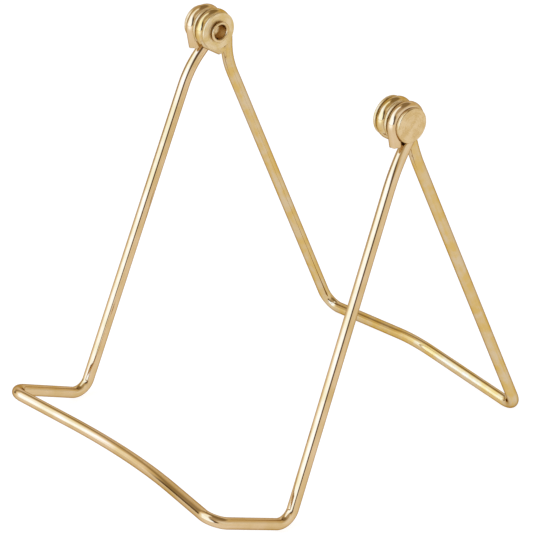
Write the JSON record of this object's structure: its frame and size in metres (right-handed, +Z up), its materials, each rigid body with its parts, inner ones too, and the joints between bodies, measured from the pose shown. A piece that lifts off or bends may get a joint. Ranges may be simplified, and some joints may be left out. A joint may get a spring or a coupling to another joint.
{
  "type": "folding wire display stand",
  "caption": "Folding easel of bent round wire: a front frame with upturned prongs and a dented front bar, riveted at the top to a narrower rear prop frame.",
  "frame": {"origin": "centre of the stand's footprint, on the surface it stands on", "axes": "+Z up; the prongs and the displayed album face -Y; the hinge axis runs along X"},
  "size_m": [0.0926, 0.1134, 0.1078],
  "materials": {
    "front_wire": "bright pale gold plating, polished",
    "rear_wire": "bright pale gold plating, faintly uneven",
    "rivet_metal": "satin pale gold plating",
    "washer_metal": "satin pale gold plating"
  },
  "bodies": {
    "front_frame": {"front_wire_frame": "front_wire", "left_rivet": "rivet_metal", "right_rivet": "rivet_metal", "left_spacer_washer": "washer_metal", "right_spacer_washer": "washer_metal", "left_end_washer": "washer_metal", "right_end_washer": "washer_metal"},
    "rear_frame": {"rear_wire_frame": "rear_wire"}
  },
  "joints": [
    {"name": "rear_frame_fold", "type": "hinge", "parent": "front_frame", "child": "rear_frame", "pos_m": [0, 0.01086, 0.102], "axis": [1, 0, 0], "range_deg": [-46, 134]}
  ]
}
